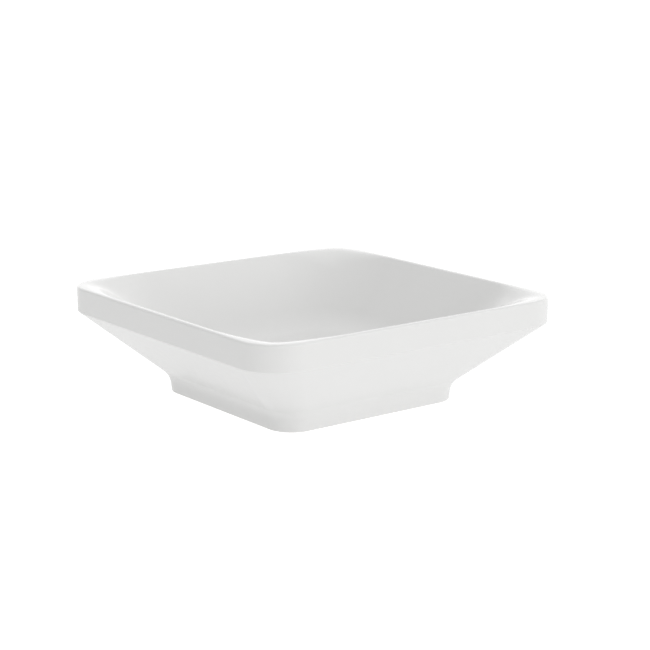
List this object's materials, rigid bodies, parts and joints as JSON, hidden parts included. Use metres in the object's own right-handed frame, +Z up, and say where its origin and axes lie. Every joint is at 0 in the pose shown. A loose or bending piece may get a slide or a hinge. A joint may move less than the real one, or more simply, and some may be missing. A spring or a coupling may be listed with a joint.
{
  "type": "countertop washbasin",
  "caption": "Square countertop washbasin in white glazed fireclay: flat rim band, sloping sides, small coved foot, round-cornered bowl and a push-to-open waste plug.",
  "frame": {"origin": "centre of the foot's underside, on the counter's surface", "axes": "+Z up; -Y is the front and +X the right-hand side of the square rim"},
  "size_m": [0.42, 0.42, 0.125],
  "materials": {
    "fireclay_glaze": "glossy white glaze",
    "chromed_brass": "polished chrome plate",
    "raw_brass": "turned brass",
    "black_rubber": "moulded, matt",
    "white_washer": "moulded polyethylene",
    "acetal_white": "moulded acetal",
    "acetal_grey": "moulded acetal",
    "spring_steel": "drawn stainless wire"
  },
  "bodies": {
    "basin": {"basin_bowl": "fireclay_glaze", "waste_body": "chromed_brass", "flange_gasket": "black_rubber", "boss_gasket": "black_rubber", "slip_washer": "white_washer", "waste_nut": "raw_brass", "cartridge_base": "acetal_white", "cartridge_body": "acetal_white", "stem_o_ring": "black_rubber", "return_spring": "spring_steel"},
    "plug": {"plunger": "acetal_grey", "plug_disc": "acetal_grey", "plug_seal": "black_rubber", "plug_cap": "chromed_brass", "cap_stud": "raw_brass"},
    "stepper": {"index_ring": "acetal_white"}
  },
  "joints": [
    {"name": "plug_press", "type": "slide", "parent": "basin", "child": "plug", "axis": [0, 0, 1], "range_m": [-0.008, 0], "stiffness_N_per_m": 500, "springref_m": 0.012, "deforming": ["return_spring"]},
    {"name": "ring_step", "type": "hinge", "parent": "basin", "child": "stepper", "pos_m": [0, 0, 0.0208], "axis": [0, 0, 1], "range_deg": [0, 22.5]}
  ],
  "couplings": [
    {"joint": "ring_step", "follows": "plug_press", "rad_per_m": -49.08}
  ]
}
